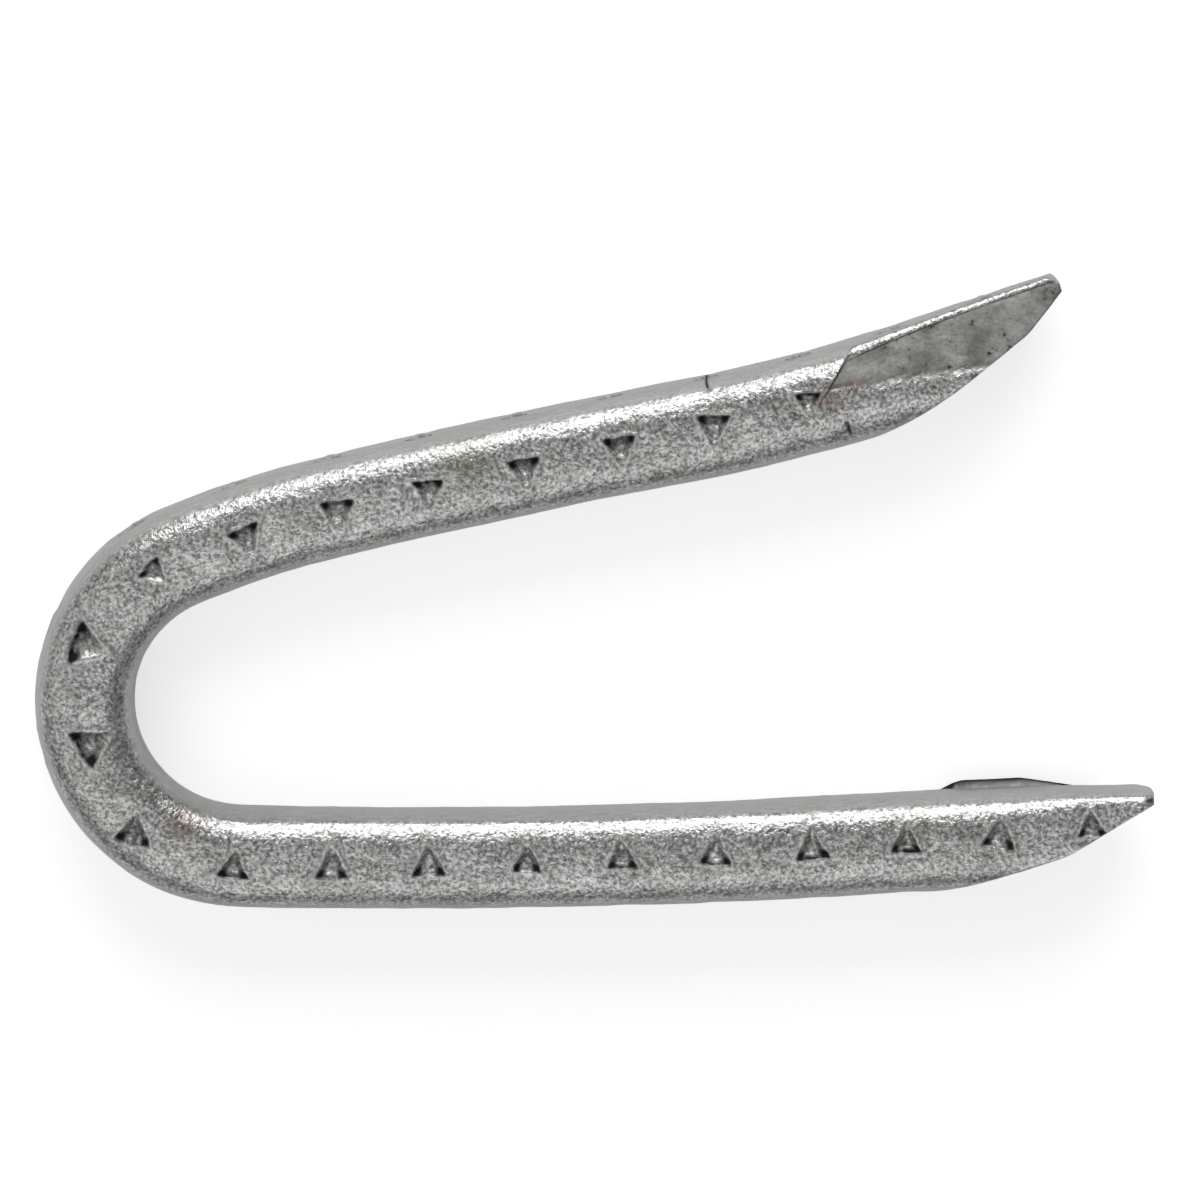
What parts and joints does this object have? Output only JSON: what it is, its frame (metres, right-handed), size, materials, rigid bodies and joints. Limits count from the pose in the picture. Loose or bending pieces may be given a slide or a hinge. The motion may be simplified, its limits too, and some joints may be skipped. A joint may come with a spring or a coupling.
{
  "type": "barbed fence staple",
  "caption": "U-shaped wire staple with splayed legs, rolled barb pits and slash-cut points, for fixing fence wire to timber posts.",
  "frame": {"origin": "centre of the crown's bend, at the middle of the wire", "axes": "+X runs between the legs towards the points, +Y towards the kicked upper leg, +Z out of the front face that the picture shows"},
  "size_m": [0.0417, 0.0226, 0.004],
  "materials": {
    "galvanised_steel": "hot-dip galvanised"
  },
  "bodies": {
    "root": {"staple": "galvanised_steel"}
  },
  "joints": []
}
